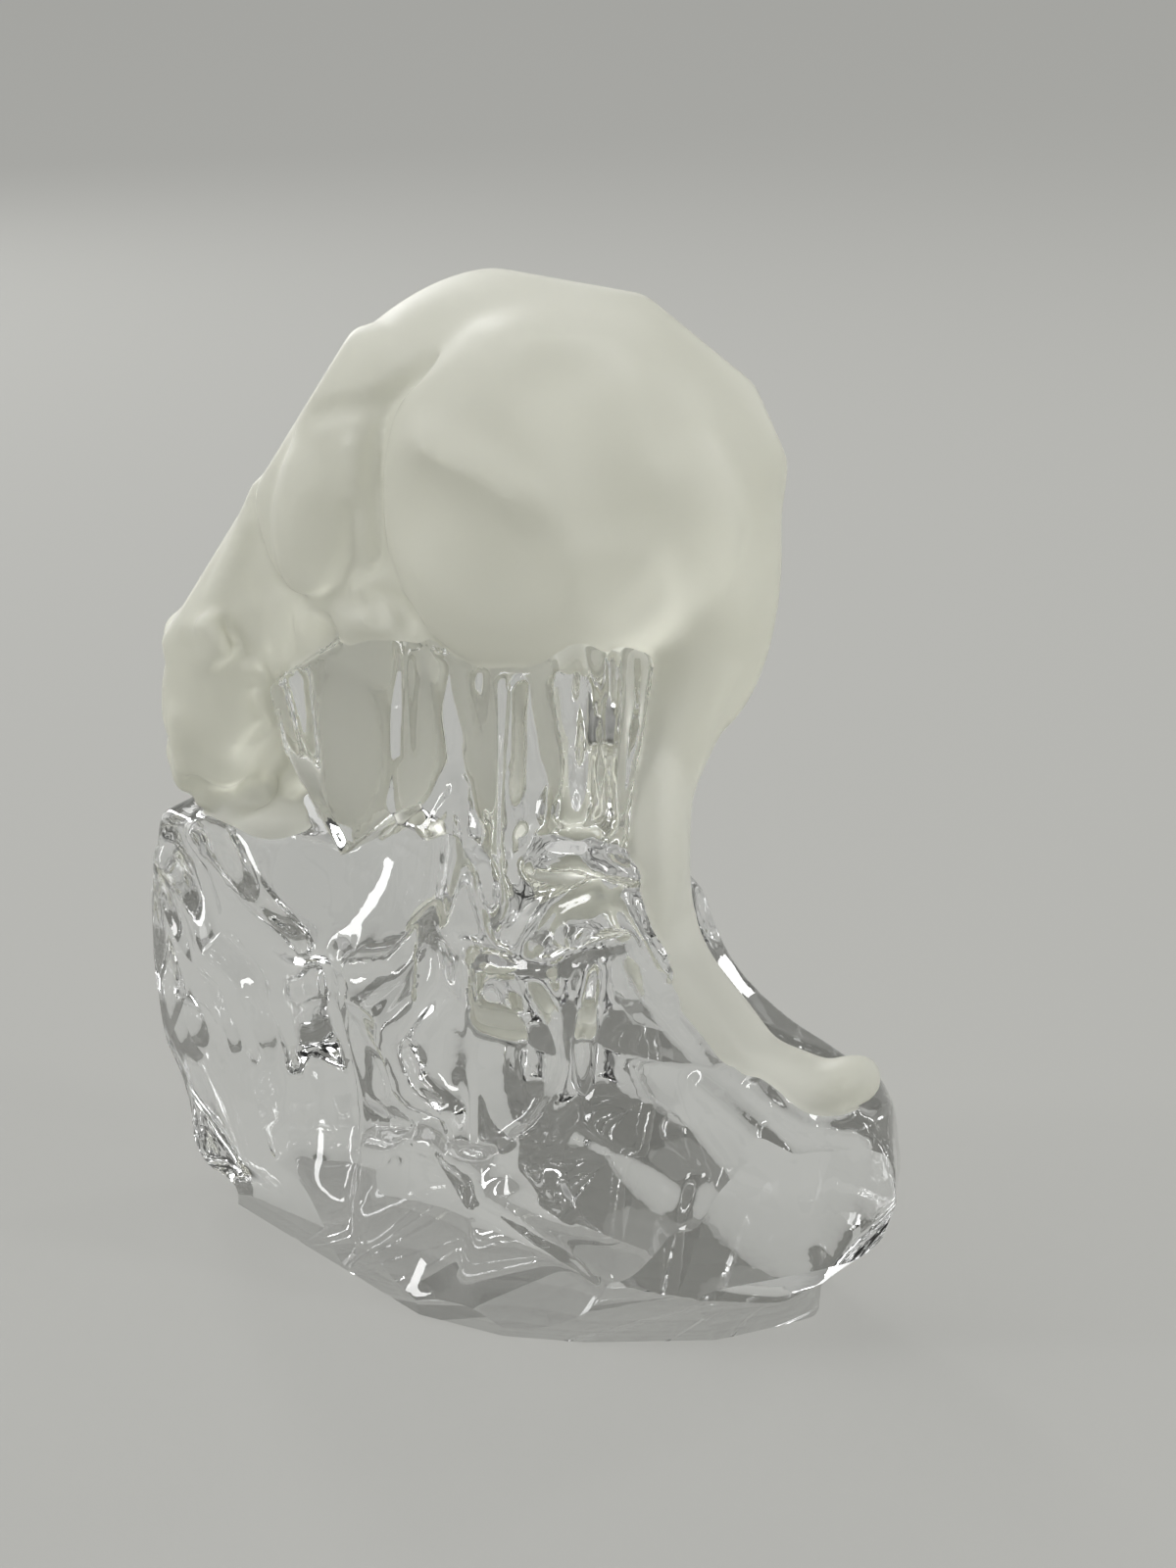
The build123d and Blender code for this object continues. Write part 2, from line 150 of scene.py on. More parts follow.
CAT_STROKES = (
    # crease before the haunch
    (4.5, -3.2, True, (
        (-11, -25, 217), (-17, -24, 211), (-21, -24, 205), (-22, -25, 194), (-22, -25, 187), (-23, -23, 179),
        (-25, -20, 172), (-28, -12, 163), (-18, -25, 163), (-14, -27, 160),
    )),
    (8, -0.8, False, ((2, -26, 224), (-5, -26, 221), (-11, -25, 217))),
    # the haunch's planes
    (10, 2.6, True, ((-4, -36, 201), (2, -38, 199), (11, -38, 197), (18, -38, 193))),
    (18, -4.0, False, ((-4, -38, 188), (6, -39, 184), (15, -38, 180))),
    (14, -3.0, False, ((27, -28, 216), (31, -29, 209), (35, -28, 191))),
    (11, -1.8, False, ((36, -27, 177), (38, -26, 174))),
    (12, 2.6, False, ((47, -20, 197), (52, -16, 184), (55, -12, 172))),
    # outline of the shoulder blade and its hollow
    (4, -2.6, True, (
        (-57, -7, 191), (-58, -13, 182), (-57, -17, 172), (-54, -17, 162), (-49, -19, 160), (-38, -24, 161),
        (-32, -24, 165), (-30, -25, 171), (-28, -27, 183),
    )),
    (4, -1.2, False, ((-37, -23, 202), (-33, -22, 203), (-26, -23, 205), (-21, -24, 207))),
    (9, -1.2, False, ((-34, -29, 179), (-35, -28, 171))),
    (4, 1.4, False, ((-27, -24, 197), (-26, -25, 192))),
    # the left hind paw, tucked up to its folds
    (10, -6, False, ((-23, -30, 150), (-18, -30, 151))),
    (3, -2, True, ((-27, -26, 167), (-23, -29, 162), (-20, -30, 157))),
    # folds of the upper arm
    (4, -1.6, False, ((-52, -18, 155), (-52, -18, 148), (-52, -17, 144))),
    (5, 1.2, False, ((-46, -19, 153), (-44, -18, 149))),
    (3.5, -1.6, False, ((-32, -9, 161), (-23, -27, 162), (-20, -30, 159))),
    # ridge of the neck
    (5, 1.4, False, ((-63, -12, 180), (-66, -16, 168), (-71, -18, 156))),
    (6, -1.2, False, ((-60, -17, 169), (-60, -18, 160))),
    # left ear, brow, cheek and closed eye
    (2.6, -2.4, True, ((-67, -20, 151), (-66, -18, 147), (-65, -17, 144))),
    (3.5, 1.4, False, ((-70, -22, 150), (-68, -20, 145))),
    (5, 1.2, False, ((-77, -21, 149), (-72, -22, 151))),
    (4.5, 1.3, False, ((-64, -13, 136), (-61, -11, 132))),
    (2.6, -1.4, True, ((-65, -14, 138), (-65, -13, 131), (-64, -12, 129))),
    # right ear, both eyes and the nose, which the photograph doesn't show
    (3, -2.4, True, ((-68, 10, 152), (-67, 9, 147), (-66, 7, 143))),
    (6, -1.8, False, ((-90, -13, 138), (-88, -16, 139))),
    (6, -3.0, False, ((-90, -3, 138), (-88, 1, 139))),
    (3, 1.2, False, ((-90, -12, 137), (-88, -16, 137))),
    (3, 1.5, False, ((-90, -4, 137), (-88, 0, 137))),
    (5, 0.5, False, ((-90, -12, 144), (-85, -18, 143))),
    (4.5, 1.3, False, ((-90, -4, 144), (-84, 3, 143))),
    (5, 1.6, False, ((-91, -8, 145), (-91, -8, 117))),
    (4.5, 1.6, False, ((-91, -11, 114), (-91, -5, 114))),
    (2.6, -2.0, True, ((-91, -11, 112), (-91, -10, 111))),
    (2.6, -2.0, True, ((-91, -6, 111), (-91, -5, 112))),
    (3, -2.6, True, ((-91, -8, 111), (-87, -8, 104))),
    (7, 1.8, False, ((-89, -13, 109), (-87, -16, 110))),
    (7, 1.8, False, ((-89, -3, 109), (-85, 0, 110))),
    (3, -2.6, True, ((-80, 2, 108), (-85, -2, 104), (-87, -8, 104), (-85, -14, 104), (-80, -19, 108))),
    # mouth and muzzle
    (2.6, -2.0, True, ((-68, -13, 120), (-66, -12, 123), (-62, -9, 126))),
    (7, -1.5, False, ((-75, -20, 119), (-71, -17, 116))),
    (5, 1.2, False, ((-81, -22, 127), (-81, -19, 114))),
    # edge of the jaw, and the crease behind it
    (3.5, 1.6, True, ((-60, -14, 147), (-58, -13, 138), (-58, -12, 132), (-61, -10, 126), (-67, -12, 120))),
    (6, -5, True, (
        (-54, -12, 138), (-57, -9, 126), (-61, -8, 117), (-67, -7, 108), (-72, -11, 105), (-79, -18, 109),
    )),
    # edge down the tail
    (4, 1.0, False, ((55, -10, 153), (49, -12, 138), (44, -11, 117), (45, -11, 101))),
)

# Clay laid on the cat where its forms meet: centre and radii of each lump
CAT_CLAY = (
    ((20, -15, 190), (37, 23.5, 37)),
    ((41, 1, 176), (19, 17, 42)),
    ((-34, 0, 200), (16, 18, 17)),
    # the right fore leg, which shows through the column
    ((-41, 27, 146), (16, 12, 22)),
    ((-45, 29, 119), (14, 11, 22)),
    # between the shoulder, the haunch and the paw below them
    ((-25, -17, 161), (15, 11, 15)),
    # the tail's near side
    ((41, -16, 116), (7, 6, 25)),
    ((10, -12, 205), (28, 16, 24)),
    ((-28, -13, 192), (22, 16, 30)),
    ((-50, -8, 177), (14, 15, 24)),
)
# The rump's forms flow together about this place
RUMP_CENTRE = (22, -10, 192)
# Flat places of the back, the rump and the brow: a point of each and its outward normal
CAT_PLANES = (
    ((43, -2, 223), (0.49, 0.42, 0.77)),
    ((20, -2, 232), (0.07, 0.23, 0.97)),
    ((59, -2, 209), (0.77, 0.48, 0.41)),
    ((-86, -2, 156), (-0.76, -0.37, 0.53)),
    ((-99, -2, 131), (-0.82, -0.57, 0.08)),
    ((-97, -2, 113), (-0.73, -0.63, -0.25)),
)
# Ground facets of the rock: a point of each and its outward normal
ROCK_FACETS = (
    ((0, 0, 0), (0, 0, -1)),
    ((-22, -31.5, 4), (-0.38, -0.90, -0.22)),
    ((2, -37.0, 4), (0.0, -0.97, -0.22)),
    ((25, -33.0, 4), (0.32, -0.92, -0.22)),
    ((44, -23.5, 5), (0.50, -0.83, -0.24)),
    ((81, -14.5, 41), (0.46, -0.86, -0.2)),
    ((91, 0, 32), (0.91, 0.30, -0.3)),
    ((-85.5, -18, 66), (-0.53, -0.84, -0.08)),
)

FROST_COLOUR = "EAEADE"
CRYSTAL_COLOUR = "FCFDFD"
FLOOR_COLOUR = "B2B2AE"


def linear(code):
    """A colour written as sRGB hex, as the linear values that shaders take."""
    values = []
    for i in (0, 2, 4):
        c = int(code[i : i + 2], 16) / 255
        values.append(c / 12.92 if c <= 0.04045 else ((c + 0.055) / 1.055) ** 2.4)
    return (*values, 1.0)


def add_node(tree, kind, settings=None, **sockets):
    """One shader node, with its settings and the values of its sockets, or what feeds them."""
    node = tree.nodes.new(kind)
    for name, value in (settings or {}).items():
        setattr(node, name, value)
    for name, value in sockets.items():
        socket = node.inputs[name.replace("_", " ")]
        if isinstance(value, bpy.types.NodeSocket):
            tree.links.new(value, socket)
        else:
            socket.default_value = value
    return node


def new_material(name):
    """An empty node material, its node tree and its output node."""
    material = bpy.data.materials.new(name)
    material.use_nodes = True
    tree = material.node_tree
    tree.nodes.clear()
    return material, tree, tree.nodes.new("ShaderNodeOutputMaterial")


def frosted_crystal():
    """Acid-satin frosted lead crystal: milky, dull and even, with a very fine etched grain."""
    material, tree, output = new_material("satin frosted lead crystal")
    place = add_node(tree, "ShaderNodeTexCoord").outputs["Object"]
    # the etch is a little uneven in patches some 30 mm across
    cloud = add_node(tree, "ShaderNodeTexNoise", Vector=place, Scale=32.0, Detail=3.0, Roughness=0.5)
    rough = add_node(
        tree, "ShaderNodeMapRange", Value=cloud.outputs["Fac"], From_Min=0.3, From_Max=0.7, To_Min=0.50, To_Max=0.62
    )
    # its grain is finer than a tenth of a millimetre
    grain = add_node(tree, "ShaderNodeTexNoise", Vector=place, Scale=9000.0, Detail=2.0)
    bump = add_node(tree, "ShaderNodeBump", Strength=0.08, Distance=0.0001, Height=grain.outputs["Fac"])
    shader = add_node(
        tree,
        "ShaderNodeBsdfPrincipled",
        Base_Color=linear(FROST_COLOUR),
        Roughness=rough.outputs["Result"],
        IOR=1.54,
        Transmission_Weight=0.5,
        Normal=bump.outputs["Normal"],
    )
    tree.links.new(shader.outputs["BSDF"], output.inputs["Surface"])
    return material


def clear_crystal():
    """Fire-polished lead crystal: colourless, mirror-smooth, with faint flow ripples from the mould."""
    material, tree, output = new_material("polished lead crystal")
    place = add_node(tree, "ShaderNodeTexCoord").outputs["Object"]
    # flow ripples some 6 mm long and hundredths of a millimetre deep
    ripple = add_node(tree, "ShaderNodeTexNoise", Vector=place, Scale=160.0, Detail=2.0, Roughness=0.45)
    bump = add_node(tree, "ShaderNodeBump", Strength=0.25, Distance=0.0003, Height=ripple.outputs["Fac"])
    smear = add_node(tree, "ShaderNodeTexNoise", Vector=place, Scale=60.0, Detail=2.0)
    rough = add_node(
        tree, "ShaderNodeMapRange", Value=smear.outputs["Fac"], From_Min=0.4, From_Max=0.8, To_Min=0.0, To_Max=0.02
    )
    shader = add_node(
        tree,
        "ShaderNodeBsdfPrincipled",
        Base_Color=linear(CRYSTAL_COLOUR),
        Roughness=rough.outputs["Result"],
        IOR=1.55,
        Transmission_Weight=1.0,
        Normal=bump.outputs["Normal"],
    )
    tree.links.new(shader.outputs["BSDF"], output.inputs["Surface"])
    return material


def floor_paper():
    """Plain pale card, dull, with a barely visible tooth."""
    material, tree, output = new_material("pale backdrop card")
    place = add_node(tree, "ShaderNodeTexCoord").outputs["Object"]
    tooth = add_node(tree, "ShaderNodeTexNoise", Vector=place, Scale=1500.0, Detail=2.0)
    bump = add_node(tree, "ShaderNodeBump", Strength=0.1, Distance=0.0002, Height=tooth.outputs["Fac"])
    shader = add_node(
        tree,
        "ShaderNodeBsdfPrincipled",
        Base_Color=linear(FLOOR_COLOUR),
        Roughness=0.9,
        Specular_IOR_Level=0.2,
        Normal=bump.outputs["Normal"],
    )
    # to the eye, also through the crystal, the card stays pale far from the lamps
    pale = add_node(tree, "ShaderNodeEmission", Color=linear(FLOOR_COLOUR), Strength=1.0)
    path = add_node(tree, "ShaderNodeLightPath")
    straight = add_node(tree, "ShaderNodeMapRange", Value=path.outputs["Is Camera Ray"], To_Max=0.75)
    passed = add_node(tree, "ShaderNodeMapRange", Value=path.outputs["Is Transmission Ray"], To_Max=0.75)
    mirrored = add_node(tree, "ShaderNodeMapRange", Value=path.outputs["Is Glossy Ray"], To_Max=0.2)
    share = tree.nodes.new("ShaderNodeMath")
    share.operation = "MAXIMUM"
    tree.links.new(passed.outputs["Result"], share.inputs[0])
    tree.links.new(mirrored.outputs["Result"], share.inputs[1])
    either = tree.nodes.new("ShaderNodeMath")
    either.operation = "MAXIMUM"
    tree.links.new(share.outputs["Value"], either.inputs[0])
    tree.links.new(straight.outputs["Result"], either.inputs[1])
    mix = tree.nodes.new("ShaderNodeMixShader")
    tree.links.new(either.outputs["Value"], mix.inputs[0])
    tree.links.new(shader.outputs["BSDF"], mix.inputs[1])
    tree.links.new(pale.outputs["Emission"], mix.inputs[2])
    tree.links.new(mix.outputs["Shader"], output.inputs["Surface"])
    return material


def merged_forms(names, lowered_base=0.0):
    """One mesh with a copy of each named solid, merged by distance."""
    whole = bmesh.new()
    for name in names:
        form = bmesh.new()
        form.from_mesh(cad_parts[name].data)
        bmesh.ops.remove_doubles(form, verts=form.verts, dist=1e-7)
        for vert in form.verts:
            if vert.co.z < 0.01 * MM:
                vert.co.z -= lowered_base
        copy = bpy.data.meshes.new(name + "_copy")
        form.to_mesh(copy)
        form.free()
        whole.from_mesh(copy)
        bpy.data.meshes.remove(copy)
    mesh = bpy.data.meshes.new("forms")
    whole.to_mesh(mesh)
    whole.free()
    return mesh


def lump(centre, radii):
    """A lump of clay: an ellipsoid in millimetres."""
    form = bmesh.new()
    bmesh.ops.create_icosphere(form, subdivisions=4, radius=1)
    for vert in form.verts:
        vert.co = Vector([(c + r * x) * MM for c, r, x in zip(centre, radii, vert.co)])
    mesh = bpy.data.meshes.new("lump")
    form.to_mesh(mesh)
    form.free()
    return mesh


def slab(depth, corners):
    """A flat slab with the corners of its face in millimetres, going back along Y by its depth."""
    form = bmesh.new()
    for x, y, z in corners:
        form.verts.new((x * MM, y * MM, z * MM))
        form.verts.new((x * MM, (y + depth) * MM, z * MM))
    hull = bmesh.ops.convex_hull(form, input=form.verts[:])
    bmesh.ops.delete(form, geom=list(dict.fromkeys(hull["geom_interior"] + hull["geom_unused"])), context="VERTS")
    mesh = bpy.data.meshes.new("slab")
    form.to_mesh(mesh)
    form.free()
    return mesh


def melt(meshes, voxel):
    """The meshes melted into one closed skin of even quads."""
    whole = bmesh.new()
    for mesh in meshes:
        whole.from_mesh(mesh)
    joined = bpy.data.meshes.new("joined")
    whole.to_mesh(joined)
    whole.free()
    holder = bpy.data.objects.new("holder", joined)
    bpy.context.scene.collection.objects.link(holder)
    remesh = holder.modifiers.new("melt", "REMESH")
    remesh.mode = "VOXEL"
    remesh.voxel_size = voxel
    shape = holder.evaluated_get(bpy.context.evaluated_depsgraph_get())
    skin = bpy.data.meshes.new_from_object(shape)
    bpy.data.objects.remove(holder)
    bpy.data.meshes.remove(joined)
    return skin


def points_of(mesh):
    """The mesh's points, as rows of x, y, z."""
    points = np.empty(len(mesh.vertices) * 3)
    mesh.vertices.foreach_get("co", points)
    return points.reshape(-1, 3)


def normals_of(mesh):
    """The normal at each of the mesh's points."""
    normals = np.empty(len(mesh.vertices) * 3)
    mesh.vertices.foreach_get("normal", normals)
    return normals.reshape(-1, 3)


def set_points(mesh, points):
    """Moves the mesh's points."""
    mesh.vertices.foreach_set("co", np.ascontiguousarray(points, dtype=np.float32).ravel())
    mesh.update()


def edges_of(mesh):
    """The two point numbers of each edge."""
    edges = np.empty(len(mesh.edges) * 2, dtype=np.int64)
    mesh.edges.foreach_get("vertices", edges)
    return edges.reshape(-1, 2)


def neighbour_mean(values, edges):
    """The mean of the neighbours' values at each point."""
    count = len(values)
    start = np.concatenate((edges[:, 0], edges[:, 1]))
    end = np.concatenate((edges[:, 1], edges[:, 0]))
    degree = np.maximum(np.bincount(start, minlength=count), 1)
    columns = values.reshape(count, -1)
    sums = [np.bincount(start, weights=columns[end, i], minlength=count) for i in range(columns.shape[1])]
    return (np.stack(sums, 1) / degree[:, None]).reshape(values.shape)


def relax(mesh, passes, weight=1.0):
    """Lets the skin flow smooth, by its weight at each point."""
    points = points_of(mesh)
    edges = edges_of(mesh)
    share = 0.6 * (weight if np.isscalar(weight) else weight[:, None])
    for _ in range(passes):
        points = points + share * (neighbour_mean(points, edges) - points)
    set_points(mesh, points)


def distance_to(mesh, points):
    """How far each point lies from the mesh's surface."""
    tree = BVHTree.FromPolygons([v.co for v in mesh.vertices], [p.vertices for p in mesh.polygons])
    return np.array([tree.find_nearest(Vector(p))[3] for p in points])


def distance_from_line(points, line):
    """How far each point lies from a line through several points."""
    nearest = np.full(len(points), np.inf)
    for a, b in zip(line[:-1], line[1:]):
        along = b - a
        share = np.clip(((points - a) @ along) / max(along @ along, 1e-12), 0, 1)
        nearest = np.minimum(nearest, np.linalg.norm(points - (a + share[:, None] * along), axis=1))
    return nearest


def laid_on(tree, line, step):
    """A line through several points, laid on a surface at even steps."""
    places = []
    for a, b in zip(line[:-1], line[1:]):
        count = max(1, round(np.linalg.norm(b - a) / step))
        places += [a + (b - a) * i / count for i in range(count)]
    return np.array([tree.find_nearest(Vector(place))[0] for place in (*places, line[-1])])


def model(mesh, strokes, step):
    """Pushes the skin in and out along its normals, stroke by stroke."""
    tree = BVHTree.FromPolygons([v.co for v in mesh.vertices], [p.vertices for p in mesh.polygons])
    for radius, push, crisp, corners in strokes:
        points = points_of(mesh)
        line = laid_on(tree, np.array(corners) * MM, step)
        reach = radius * MM
        near = np.all((points > line.min(0) - reach) & (points < line.max(0) + reach), axis=1)
        far = np.minimum(distance_from_line(points[near], line) / reach, 1)
        fall = (1 - far) ** 1.5 if crisp else (1 - far**2) ** 2
        points[near] += normals_of(mesh)[near] * (push * MM * fall)[:, None]
        set_points(mesh, points)


def scoop(mesh, scoops):
    """Bites shell-shaped hollows with crisp rims out of the skin."""
    tree = BVHTree.FromPolygons([v.co for v in mesh.vertices], [p.vertices for p in mesh.polygons])
    points = points_of(mesh)
    for place, facing, radius, depth in scoops:
        outward = Vector(facing).normalized()
        surface = tree.ray_cast(Vector(place) * MM + outward * 60 * MM, -outward)[0]
        centre = np.array(surface + outward * (radius - depth) * MM)
        reach = np.linalg.norm(points - centre, axis=1)
        inside = reach < radius * MM
        points[inside] = centre + (points[inside] - centre) * (radius * MM / reach[inside])[:, None]
    set_points(mesh, points)


def flatten(mesh, planes):
    """Presses whatever stands out beyond each plane flat onto it."""
    points = points_of(mesh)
    for point, normal in planes:
        normal = np.array(normal) / np.linalg.norm(normal)
        beyond = np.maximum((points - np.array(point) * MM) @ normal, 0)
        points = points - beyond[:, None] * normal
    set_points(mesh, points)


def ripple(mesh, length, height, seed):
    """Gives the skin soft waves of one length and a height at each point."""
    points = points_of(mesh)
    shift = Vector((seed, 2 * seed, 3 * seed))
    waves = np.array([noise.noise(Vector(p) / length + shift) for p in points])
    set_points(mesh, points + normals_of(mesh) * (height * waves)[:, None])


def grind(form, point, normal, height):
    """Grinds the form flat up to a height: cuts off what lies beyond the plane, and leaves a crisp facet."""
    low = [v for v in form.verts if v.co.z < height]
    below = set(low)
    edges = [e for e in form.edges if below.issuperset(e.verts)]
    faces = [f for f in form.faces if below.issuperset(f.verts)]
    cut = bmesh.ops.bisect_plane(
        form, geom=[*low, *edges, *faces], plane_co=point, plane_no=normal, clear_outer=True
    )
    rim = [e for e in cut["geom_cut"] if isinstance(e, bmesh.types.BMEdge) and e.is_boundary]
    facet = bmesh.ops.holes_fill(form, edges=rim, sides=0)["faces"]
    for edge in rim:
        edge.smooth = False
    for face in facet:
        face.smooth = False
    bmesh.ops.triangulate(form, faces=facet)


def part_along(form, level):
    """Adds the line where level passes through zero to the form's edges."""
    crossing = [e for e in form.edges if e.verts[0][level] * e.verts[1][level] < 0]
    nearest = {}
    for edge in crossing:
        a, b = edge.verts
        share = a[level] / (a[level] - b[level])
        spot = a.co.lerp(b.co, share)
        vert, part = (a, share) if share < 0.5 else (b, 1 - share)
        if part < 0.3 and part < nearest.get(vert, (1.0, None))[0]:
            nearest[vert] = (part, spot)
    for vert, (_, spot) in nearest.items():
        vert.co = spot
        vert[level] = 0.0
    for edge in crossing:
        a, b = edge.verts
        if a[level] * b[level] < 0:
            share = a[level] / (a[level] - b[level])
            _, vert = bmesh.utils.edge_split(edge, a, share)
            vert[level] = 0.0
    for face in list(form.faces):
        values = [v[level] for v in face.verts]
        if min(values) < 0 < max(values):
            on_line = [v for v in face.verts if v[level] == 0.0]
            if len(on_line) == 2:
                bmesh.utils.face_split(face, on_line[0], on_line[1])


def object_from(form, name, keep):
    """A new object with those faces of the form that keep says."""
    part = form.copy()
    level = part.verts.layers.float["frost"]
    gone = [f for f in part.faces if not keep(sum(v[level] for v in f.verts))]
    bmesh.ops.delete(part, geom=gone, context="FACES")
    bmesh.ops.triangulate(part, faces=part.faces[:])
    mesh = bpy.data.meshes.new(name)
    part.to_mesh(mesh)
    part.free()
    piece = bpy.data.objects.new(name, mesh)
    bpy.context.scene.collection.objects.link(piece)
    return piece


class CastingSettings(bpy.types.PropertyGroup):
    """Sizes of the casting's skin."""

    voxel: FloatProperty(name="Skin Fineness", description="Size of one facet of the skin", default=0.95 * MM, unit="LENGTH")
    rock_flow: IntProperty(name="Rock Flow", description="How often the rock's skin is let flow smooth", default=14, min=0)
    cat_flow: IntProperty(name="Cat Flow", description="How often the cat's skin is let flow smooth", default=8, min=0)
    rump_flow: IntProperty(name="Rump Flow", description="How often the rump's skin is let flow smooth", default=60, min=0)
    rump_reach: FloatProperty(name="Rump Reach", description="How far about the rump that flow acts", default=44 * MM, unit="LENGTH")
    stroke_step: FloatProperty(
        name="Stroke Step", description="Step at which strokes are laid on the skin", default=3 * MM, unit="LENGTH"
    )
    ground_height: FloatProperty(
        name="Ground Height", description="Height up to which the rock is ground flat", default=120 * MM, unit="LENGTH"
    )
    wave_length: FloatProperty(name="Wave Length", description="Length of the rock's soft waves", default=38 * MM, unit="LENGTH")
    wave_height: FloatProperty(name="Wave Height", description="Height of the rock's soft waves", default=1.8 * MM, unit="LENGTH")
    calm_level: FloatProperty(name="Calm Level", description="Height above which the waves die down", default=96 * MM, unit="LENGTH")


class StageSettings(bpy.types.PropertyGroup):
    """Where the camera stands, and what it sees."""

    eye: FloatVectorProperty(
        name="Camera", description="Where the camera stands", default=(0.3796, -0.6576, 0.3645), subtype="XYZ", unit="LENGTH"
    )
    azimuth: FloatProperty(name="Azimuth", description="Turn of the view about the upright, in degrees", default=29.0)
    elevation: FloatProperty(name="Elevation", description="How far the camera looks down, in degrees", default=18.0)
    lens: FloatProperty(name="Lens", description="Focal length in millimetres", default=81.72)
    floor_size: FloatProperty(name="Floor Size", description="Side of the floor sheet", default=14.0, unit="LENGTH")


class CRYSTALCAT_OT_casting(bpy.types.Operator):
    """Build the frosted cat and the clear rock"""

    bl_idname = "object.crystal_cat_casting"
    bl_label = "Make Casting"

    def execute(self, context):
        settings = context.scene.crystal_cat_casting
        rock_names = [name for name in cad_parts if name.startswith("rock_")]
        cat_names = [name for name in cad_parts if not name.startswith("rock_")]
        cat_forms = merged_forms(cat_names)
        rock = melt([merged_forms(rock_names, lowered_base=8 * MM)], settings.voxel)
        loose = np.clip(distance_to(cat_forms, points_of(rock)) / (6 * MM), 0, 1)
        relax(rock, settings.rock_flow, loose)
        # the column is calmer than the rock's foot
        calm = np.clip((points_of(rock)[:, 2] - settings.calm_level) / settings.wave_length, 0, 0.8)
        ripple(rock, settings.wave_length, settings.wave_height * (1 - calm), 3.7)
        scoop(rock, ROCK_SCOOPS)
        relax(rock, 3)
        rock = melt([rock] + [slab(*size) for size in ROCK_SLABS], settings.voxel)
        model(rock, ROCK_STROKES, settings.stroke_step)
        cat = melt([cat_forms] + [lump(*size) for size in CAT_CLAY], settings.voxel)
        from_rump = np.linalg.norm(points_of(cat) - np.array(RUMP_CENTRE) * MM, axis=1)
        relax(cat, settings.rump_flow, np.clip(1.5 - from_rump / settings.rump_reach, 0, 1))
        flatten(cat, CAT_PLANES)
        relax(cat, settings.cat_flow)
        model(cat, CAT_STROKES, settings.stroke_step)
        skin = melt([rock, cat], settings.voxel)
        relax(skin, 3)
        points = points_of(skin)
        frost = distance_to(rock, points) - distance_to(cat, points)
        edges = edges_of(skin)
        for _ in range(6):
            frost = 0.5 * (frost + neighbour_mean(frost, edges))
        skin.attributes.new("frost", "FLOAT", "POINT").data.foreach_set("value", frost.astype(np.float32))
        form = bmesh.new()
        form.from_mesh(skin)
        for face in form.faces:
            face.smooth = True
        for point, normal in ROCK_FACETS:
            grind(form, Vector(point) * MM, Vector(normal), settings.ground_height)
        part_along(form, form.verts.layers.float["frost"])
        frosted = object_from(form, "frosted_cat", lambda value: value > 0)
        clear = object_from(form, "clear_rock", lambda value: value <= 0)
        form.free()
        for piece, material, names, slot in (
            (frosted, frosted_crystal(), cat_names, "frosted_crystal"),
            (clear, clear_crystal(), rock_names, "clear_crystal"),
        ):
            piece.data.materials.append(material)
            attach(piece, "root")
            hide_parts(*names)
            print(piece.name, "triangles", len(piece.data.polygons))
        return {"FINISHED"}


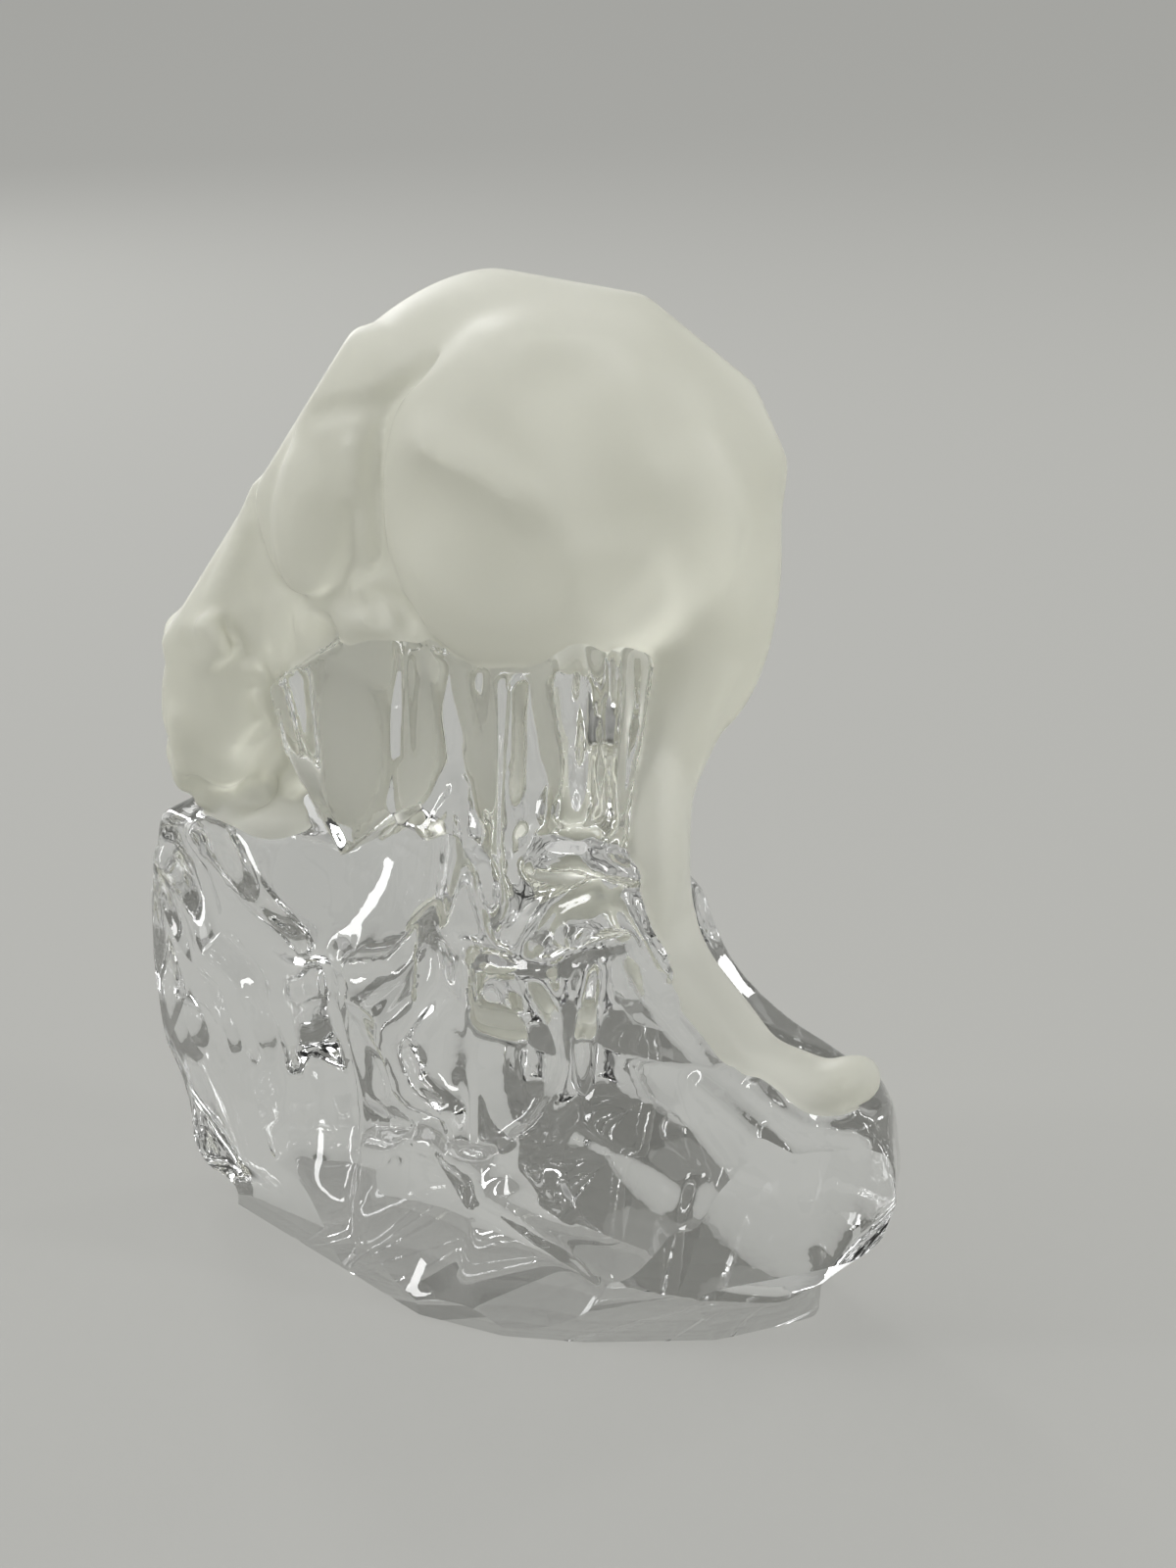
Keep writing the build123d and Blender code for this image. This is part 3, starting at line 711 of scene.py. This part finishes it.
class CRYSTALCAT_OT_stage(bpy.types.Operator):
    """Set up the camera, the floor and the lights"""

    bl_idname = "scene.crystal_cat_stage"
    bl_label = "Make Stage"

    def hang(self, scene, name, lamp, place):
        """Hangs a lamp at a place, turned to the casting's middle."""
        holder = bpy.data.objects.new(name, lamp)
        aim = Vector((0, 0, 0.11)) - Vector(place)
        holder.matrix_world = Matrix.Translation(place) @ aim.to_track_quat("-Z", "Y").to_matrix().to_4x4()
        holder.visible_camera = False
        scene.collection.objects.link(holder)

    def execute(self, context):
        scene = context.scene
        settings = scene.crystal_cat_stage
        side = settings.floor_size / 2
        sheet = bmesh.new()
        corners = [sheet.verts.new((x * side, y * side, 0)) for x, y in ((-1, -1), (1, -1), (1, 1), (-1, 1))]
        sheet.faces.new(corners)
        mesh = bpy.data.meshes.new("floor")
        sheet.to_mesh(mesh)
        sheet.free()
        floor = bpy.data.objects.new("floor", mesh)
        scene.collection.objects.link(floor)
        floor.data.materials.append(floor_paper())

        azimuth = np.radians(settings.azimuth)
        elevation = np.radians(settings.elevation)
        back = Vector(
            (np.sin(azimuth) * np.cos(elevation), -np.cos(azimuth) * np.cos(elevation), np.sin(elevation))
        )
        right = Vector((np.cos(azimuth), np.sin(azimuth), 0))
        up = back.cross(right)
        lens = bpy.data.cameras.new("camera")
        lens.lens = settings.lens
        lens.sensor_width = 36.0
        camera = bpy.data.objects.new("camera", lens)
        turn = Matrix((right, up, back)).transposed().to_4x4()
        camera.matrix_world = Matrix.Translation(Vector(settings.eye)) @ turn
        scene.collection.objects.link(camera)
        scene.camera = camera

        for name, place, width, height, glow in (
            ("strip_front_left", (-1.2, -0.9, 0.8), 0.18, 1.1, 11.6),
            ("strip_back_left", (-1.1, 0.9, 0.8), 0.18, 1.1, 13.0),
            ("strip_back_right", (0.6, 1.4, 0.8), 0.18, 1.1, 9.5),
            ("strip_right", (1.4, 0.1, 0.7), 0.18, 1.1, 12.5),
            ("strip_front_right", (0.9, -1.4, 0.8), 0.25, 0.9, 12.0),
            ("box_back_left", (-1.3, 0.5, 0.45), 0.80, 0.8, 1.6),
            ("box_back", (-0.7, 1.3, 0.8), 0.70, 0.45, 1.6),
            ("overhead_box", (0.0, 0.1, 1.6), 0.90, 0.9, 2.0),
        ):
            lamp = bpy.data.lights.new(name, "AREA")
            lamp.shape = "RECTANGLE"
            lamp.size = width
            lamp.size_y = height
            lamp.energy = glow * np.pi * width * height
            self.hang(scene, name, lamp, place)
        sun = bpy.data.lights.new("skylight", "SUN")
        sun.energy = 1.1
        sun.angle = np.radians(40)
        self.hang(scene, "skylight", sun, (-0.5, -0.2, 1.0))

        world = bpy.data.worlds.new("studio")
        world.use_nodes = True
        tree = world.node_tree
        tree.nodes.clear()
        output = tree.nodes.new("ShaderNodeOutputWorld")
        # pale low down, with a dim ceiling that the camera doesn't see
        place = add_node(tree, "ShaderNodeTexCoord").outputs["Generated"]
        height = add_node(tree, "ShaderNodeSeparateXYZ", Vector=place).outputs["Z"]
        glow = add_node(tree, "ShaderNodeMapRange", Value=height, From_Min=0.05, From_Max=0.30, To_Min=0.5, To_Max=0.03)
        path = add_node(tree, "ShaderNodeLightPath")
        plain = add_node(tree, "ShaderNodeMapRange", Value=path.outputs["Is Camera Ray"], To_Max=0.5)
        both = tree.nodes.new("ShaderNodeMath")
        both.operation = "MAXIMUM"
        tree.links.new(glow.outputs["Result"], both.inputs[0])
        tree.links.new(plain.outputs["Result"], both.inputs[1])
        walls = add_node(tree, "ShaderNodeBackground", Color=linear("F4F4F0"), Strength=both.outputs["Value"])
        tree.links.new(walls.outputs["Background"], output.inputs["Surface"])
        scene.world = world
        scene.view_settings.view_transform = "Standard"
        return {"FINISHED"}


class CRYSTALCAT_PT_panel(bpy.types.Panel):
    """Sidebar panel of the crystal cat"""

    bl_idname = "CRYSTALCAT_PT_panel"
    bl_label = "Crystal Cat"
    bl_space_type = "VIEW_3D"
    bl_region_type = "UI"
    bl_category = "Crystal Cat"

    def draw(self, context):
        layout = self.layout
        for group, operator in (
            (context.scene.crystal_cat_casting, "object.crystal_cat_casting"),
            (context.scene.crystal_cat_stage, "scene.crystal_cat_stage"),
        ):
            for name in group.__annotations__:
                layout.prop(group, name)
            layout.operator(operator)


CLASSES = (CastingSettings, StageSettings, CRYSTALCAT_OT_casting, CRYSTALCAT_OT_stage, CRYSTALCAT_PT_panel)


def register():
    for cls in CLASSES:
        bpy.utils.register_class(cls)
    bpy.types.Scene.crystal_cat_casting = PointerProperty(type=CastingSettings)
    bpy.types.Scene.crystal_cat_stage = PointerProperty(type=StageSettings)


def unregister():
    del bpy.types.Scene.crystal_cat_stage
    del bpy.types.Scene.crystal_cat_casting
    for cls in reversed(CLASSES):
        bpy.utils.unregister_class(cls)


def main():
    register()
    bpy.ops.object.crystal_cat_casting()
    bpy.ops.scene.crystal_cat_stage()


if __name__ == "__main__":
    main()
